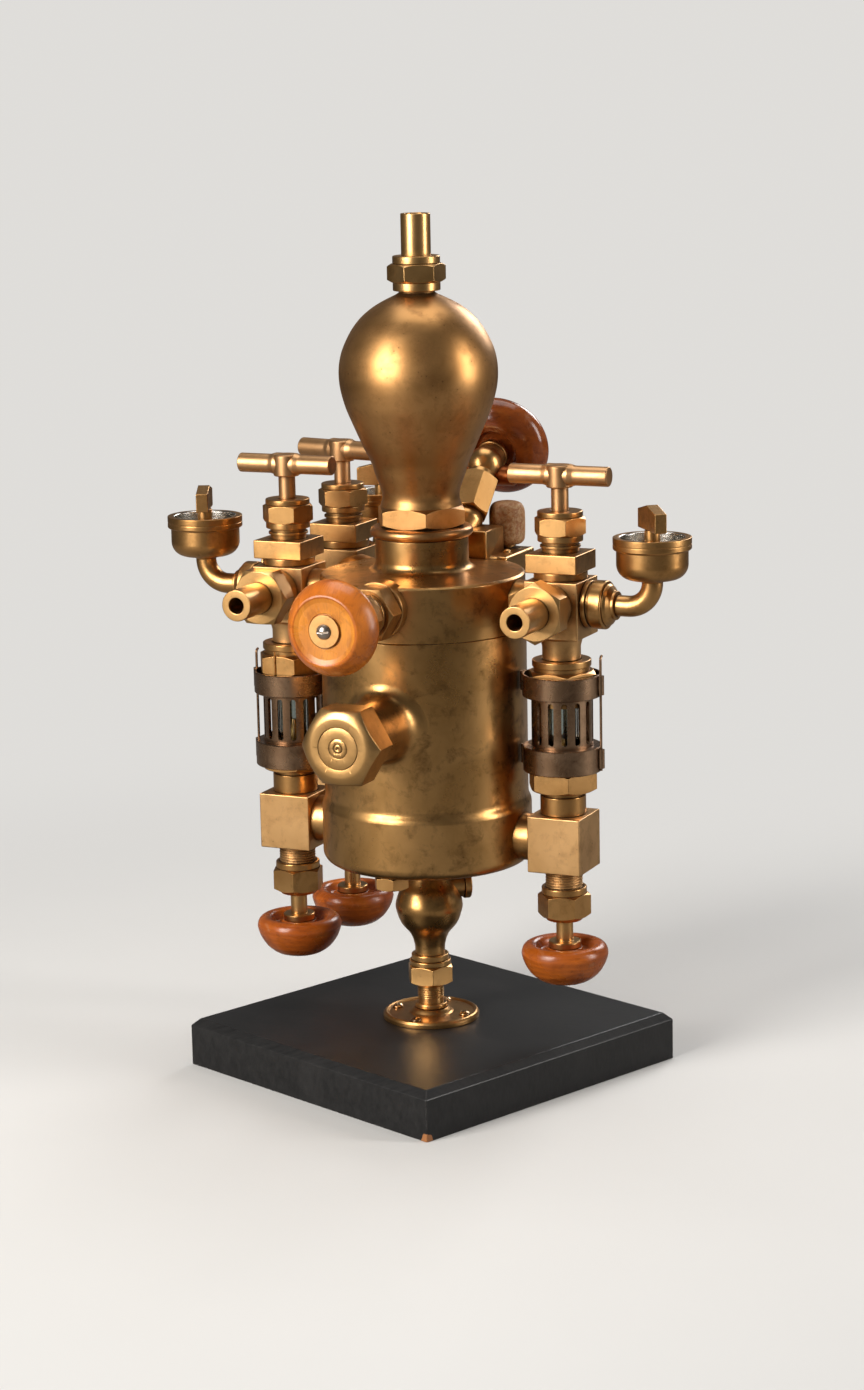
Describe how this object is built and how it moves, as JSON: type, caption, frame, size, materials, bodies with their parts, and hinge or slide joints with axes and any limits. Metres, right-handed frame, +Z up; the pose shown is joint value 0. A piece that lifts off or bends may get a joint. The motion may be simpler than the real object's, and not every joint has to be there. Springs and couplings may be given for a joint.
{
  "type": "sight feed lubricator",
  "caption": "Brass steam-engine oil lubricator: round reservoir, pear-shaped condenser, sight-glass feeds with tee handles and wooden wheels, on a square black base.",
  "frame": {"origin": "centre of the base block's underside, on the reservoir's vertical axis", "axes": "+Z up; the water valve and filler cap face -Y; the left feed stands at -X and the right feed at +X"},
  "size_m": [0.3276, 0.2813, 0.5017],
  "materials": {
    "cast_brass": "aged, satin, lightly stained",
    "turned_brass": "turned, semi-polished",
    "guard_bronze": "dark brown patina",
    "copper_ring": "reddish, tarnished",
    "wood_handle": "varnished orange-brown, worn",
    "black_base": "black painted, satin",
    "sight_glass": "clear",
    "packing": "matte",
    "fibre": "matte"
  },
  "bodies": {
    "root": {"base_block": "black_base", "floor_flange": "cast_brass", "flange_screws": "cast_brass", "stand_nipple": "cast_brass", "leg_body": "cast_brass", "drain_plugs": "cast_brass", "reservoir_body": "cast_brass", "reservoir_cap": "cast_brass", "filler_gasket": "fibre", "standpipe": "cast_brass", "neck_washer": "copper_ring", "condenser_bulb": "cast_brass", "steam_union_nut": "turned_brass", "steam_pipe": "turned_brass", "front_valve_body": "cast_brass", "front_gland_nut": "cast_brass", "rear_body": "cast_brass", "angle_valve_body": "cast_brass", "feed_blocks_upper": "cast_brass", "feed_bonnets": "cast_brass", "feed_gland_nuts": "cast_brass", "outlet_union_nuts": "turned_brass", "outlet_pipes": "turned_brass", "reservoir_connectors": "cast_brass", "cup_unions": "cast_brass", "cup_elbows": "cast_brass", "oil_cups": "cast_brass", "sight_upper_nuts": "cast_brass", "sight_glasses": "sight_glass", "sight_seals": "packing", "drip_nozzles": "turned_brass", "sight_lower_nuts": "cast_brass", "feed_blocks_lower": "cast_brass", "lower_gland_nuts": "cast_brass"},
    "left_steam_valve_stem": {"left_tee_spindle": "turned_brass"},
    "left_steam_valve_handle": {"left_tee_handle": "turned_brass"},
    "right_steam_valve_stem": {"right_tee_spindle": "turned_brass"},
    "right_steam_valve_handle": {"right_tee_handle": "turned_brass"},
    "rear_steam_valve_stem": {"rear_tee_spindle": "turned_brass"},
    "rear_steam_valve_handle": {"rear_tee_handle": "turned_brass"},
    "left_feed_valve_stem": {"left_feed_spindle": "turned_brass"},
    "left_feed_valve_handle": {"left_feed_wheel": "wood_handle"},
    "right_feed_valve_stem": {"right_feed_spindle": "turned_brass"},
    "right_feed_valve_handle": {"right_feed_wheel": "wood_handle"},
    "rear_feed_valve_stem": {"rear_feed_spindle": "turned_brass"},
    "rear_feed_valve_handle": {"rear_feed_wheel": "wood_handle"},
    "water_valve_stem": {"front_spindle": "turned_brass"},
    "water_valve_handle": {"front_wheel": "wood_handle", "front_wheel_screw": "turned_brass"},
    "angle_valve_stem": {"angle_valve_spindle": "turned_brass"},
    "angle_valve_handle": {"angle_valve_wheel": "wood_handle"},
    "vent_valve_stem": {"vent_spindle": "turned_brass"},
    "vent_valve_handle": {"vent_knob": "wood_handle"},
    "left_cup_plug": {"left_cup_key": "turned_brass"},
    "right_cup_plug": {"right_cup_key": "turned_brass"},
    "rear_cup_plug": {"rear_cup_key": "turned_brass"},
    "left_glass_guard": {"left_guard": "guard_bronze"},
    "right_glass_guard": {"right_guard": "guard_bronze"},
    "rear_glass_guard": {"rear_guard": "guard_bronze"},
    "filler_plug": {"filler_cap": "turned_brass"}
  },
  "joints": [
    {"name": "left_steam_valve_lift", "type": "slide", "parent": "root", "child": "left_steam_valve_stem", "axis": [0, 0, 1], "range_m": [0, 0.0025]},
    {"name": "left_steam_valve_turn", "type": "hinge", "parent": "left_steam_valve_stem", "child": "left_steam_valve_handle", "pos_m": [-0.0862, 0, 0.3559], "axis": [0, 0, 1], "range_deg": [0, 600]},
    {"name": "right_steam_valve_lift", "type": "slide", "parent": "root", "child": "right_steam_valve_stem", "axis": [0, 0, 1], "range_m": [0, 0.0025]},
    {"name": "right_steam_valve_turn", "type": "hinge", "parent": "right_steam_valve_stem", "child": "right_steam_valve_handle", "pos_m": [0.0862, 0, 0.3559], "axis": [0, 0, 1], "range_deg": [0, 600]},
    {"name": "rear_steam_valve_lift", "type": "slide", "parent": "root", "child": "rear_steam_valve_stem", "axis": [0, 0, 1], "range_m": [0, 0.0025]},
    {"name": "rear_steam_valve_turn", "type": "hinge", "parent": "rear_steam_valve_stem", "child": "rear_steam_valve_handle", "pos_m": [-0.0841, 0.0701, 0.3559], "axis": [0, 0, 1], "range_deg": [0, 600]},
    {"name": "left_feed_valve_lift", "type": "slide", "parent": "root", "child": "left_feed_valve_stem", "axis": [0, 0, -1], "range_m": [0, 0.0025]},
    {"name": "left_feed_valve_turn", "type": "hinge", "parent": "left_feed_valve_stem", "child": "left_feed_valve_handle", "pos_m": [-0.0862, 0, 0.073], "axis": [0, 0, -1], "range_deg": [0, 600]},
    {"name": "right_feed_valve_lift", "type": "slide", "parent": "root", "child": "right_feed_valve_stem", "axis": [0, 0, -1], "range_m": [0, 0.0025]},
    {"name": "right_feed_valve_turn", "type": "hinge", "parent": "right_feed_valve_stem", "child": "right_feed_valve_handle", "pos_m": [0.0862, 0, 0.073], "axis": [0, 0, -1], "range_deg": [0, 600]},
    {"name": "rear_feed_valve_lift", "type": "slide", "parent": "root", "child": "rear_feed_valve_stem", "axis": [0, 0, -1], "range_m": [0, 0.0025]},
    {"name": "rear_feed_valve_turn", "type": "hinge", "parent": "rear_feed_valve_stem", "child": "rear_feed_valve_handle", "pos_m": [-0.0841, 0.0701, 0.073], "axis": [0, 0, -1], "range_deg": [0, 600]},
    {"name": "water_valve_lift", "type": "slide", "parent": "root", "child": "water_valve_stem", "axis": [0, -1, 0], "range_m": [0, 0.0025]},
    {"name": "water_valve_turn", "type": "hinge", "parent": "water_valve_stem", "child": "water_valve_handle", "pos_m": [0, -0.127, 0.2839], "axis": [0, -1, 0], "range_deg": [0, 600]},
    {"name": "angle_valve_lift", "type": "slide", "parent": "root", "child": "angle_valve_stem", "axis": [0, 0.9397, 0.342], "range_m": [0, 0.0025]},
    {"name": "angle_valve_turn", "type": "hinge", "parent": "angle_valve_stem", "child": "angle_valve_handle", "pos_m": [0, 0.11655, 0.35511], "axis": [0, 0.9397, 0.342], "range_deg": [0, 600]},
    {"name": "vent_valve_lift", "type": "slide", "parent": "root", "child": "vent_valve_stem", "axis": [0, 0, 1], "range_m": [0, 0.0015]},
    {"name": "vent_valve_turn", "type": "hinge", "parent": "vent_valve_stem", "child": "vent_valve_handle", "pos_m": [0.018, 0.084, 0.313], "axis": [0, 0, 1], "range_deg": [0, 360]},
    {"name": "left_cup_turn", "type": "hinge", "parent": "root", "child": "left_cup_plug", "pos_m": [-0.1416, 0, 0.33], "axis": [0, 0, 1], "range_deg": [0, 90]},
    {"name": "right_cup_turn", "type": "hinge", "parent": "root", "child": "right_cup_plug", "pos_m": [0.1416, 0, 0.33], "axis": [0, 0, 1], "range_deg": [0, 90]},
    {"name": "rear_cup_turn", "type": "hinge", "parent": "root", "child": "rear_cup_plug", "pos_m": [-0.0841, 0.1255, 0.33], "axis": [0, 0, 1], "range_deg": [0, 90]},
    {"name": "left_guard_slide", "type": "slide", "parent": "root", "child": "left_glass_guard", "axis": [0, 0, 1], "range_m": [0, 0.009]},
    {"name": "right_guard_slide", "type": "slide", "parent": "root", "child": "right_glass_guard", "axis": [0, 0, 1], "range_m": [-0.009, 0]},
    {"name": "rear_guard_slide", "type": "slide", "parent": "root", "child": "rear_glass_guard", "axis": [0, 0, 1], "range_m": [0, 0.009]},
    {"name": "filler_cap_out", "type": "slide", "parent": "root", "child": "filler_plug", "axis": [0, -1, 0], "range_m": [0, 0.02]}
  ],
  "couplings": [
    {"joint": "left_steam_valve_turn", "follows": "left_steam_valve_lift", "rad_per_m": 4188.8},
    {"joint": "right_steam_valve_turn", "follows": "right_steam_valve_lift", "rad_per_m": 4188.8},
    {"joint": "rear_steam_valve_turn", "follows": "rear_steam_valve_lift", "rad_per_m": 4188.8},
    {"joint": "left_feed_valve_turn", "follows": "left_feed_valve_lift", "rad_per_m": 4188.8},
    {"joint": "right_feed_valve_turn", "follows": "right_feed_valve_lift", "rad_per_m": 4188.8},
    {"joint": "rear_feed_valve_turn", "follows": "rear_feed_valve_lift", "rad_per_m": 4188.8},
    {"joint": "water_valve_turn", "follows": "water_valve_lift", "rad_per_m": 4188.8},
    {"joint": "angle_valve_turn", "follows": "angle_valve_lift", "rad_per_m": 4188.8},
    {"joint": "vent_valve_turn", "follows": "vent_valve_lift", "rad_per_m": 4188.8}
  ]
}
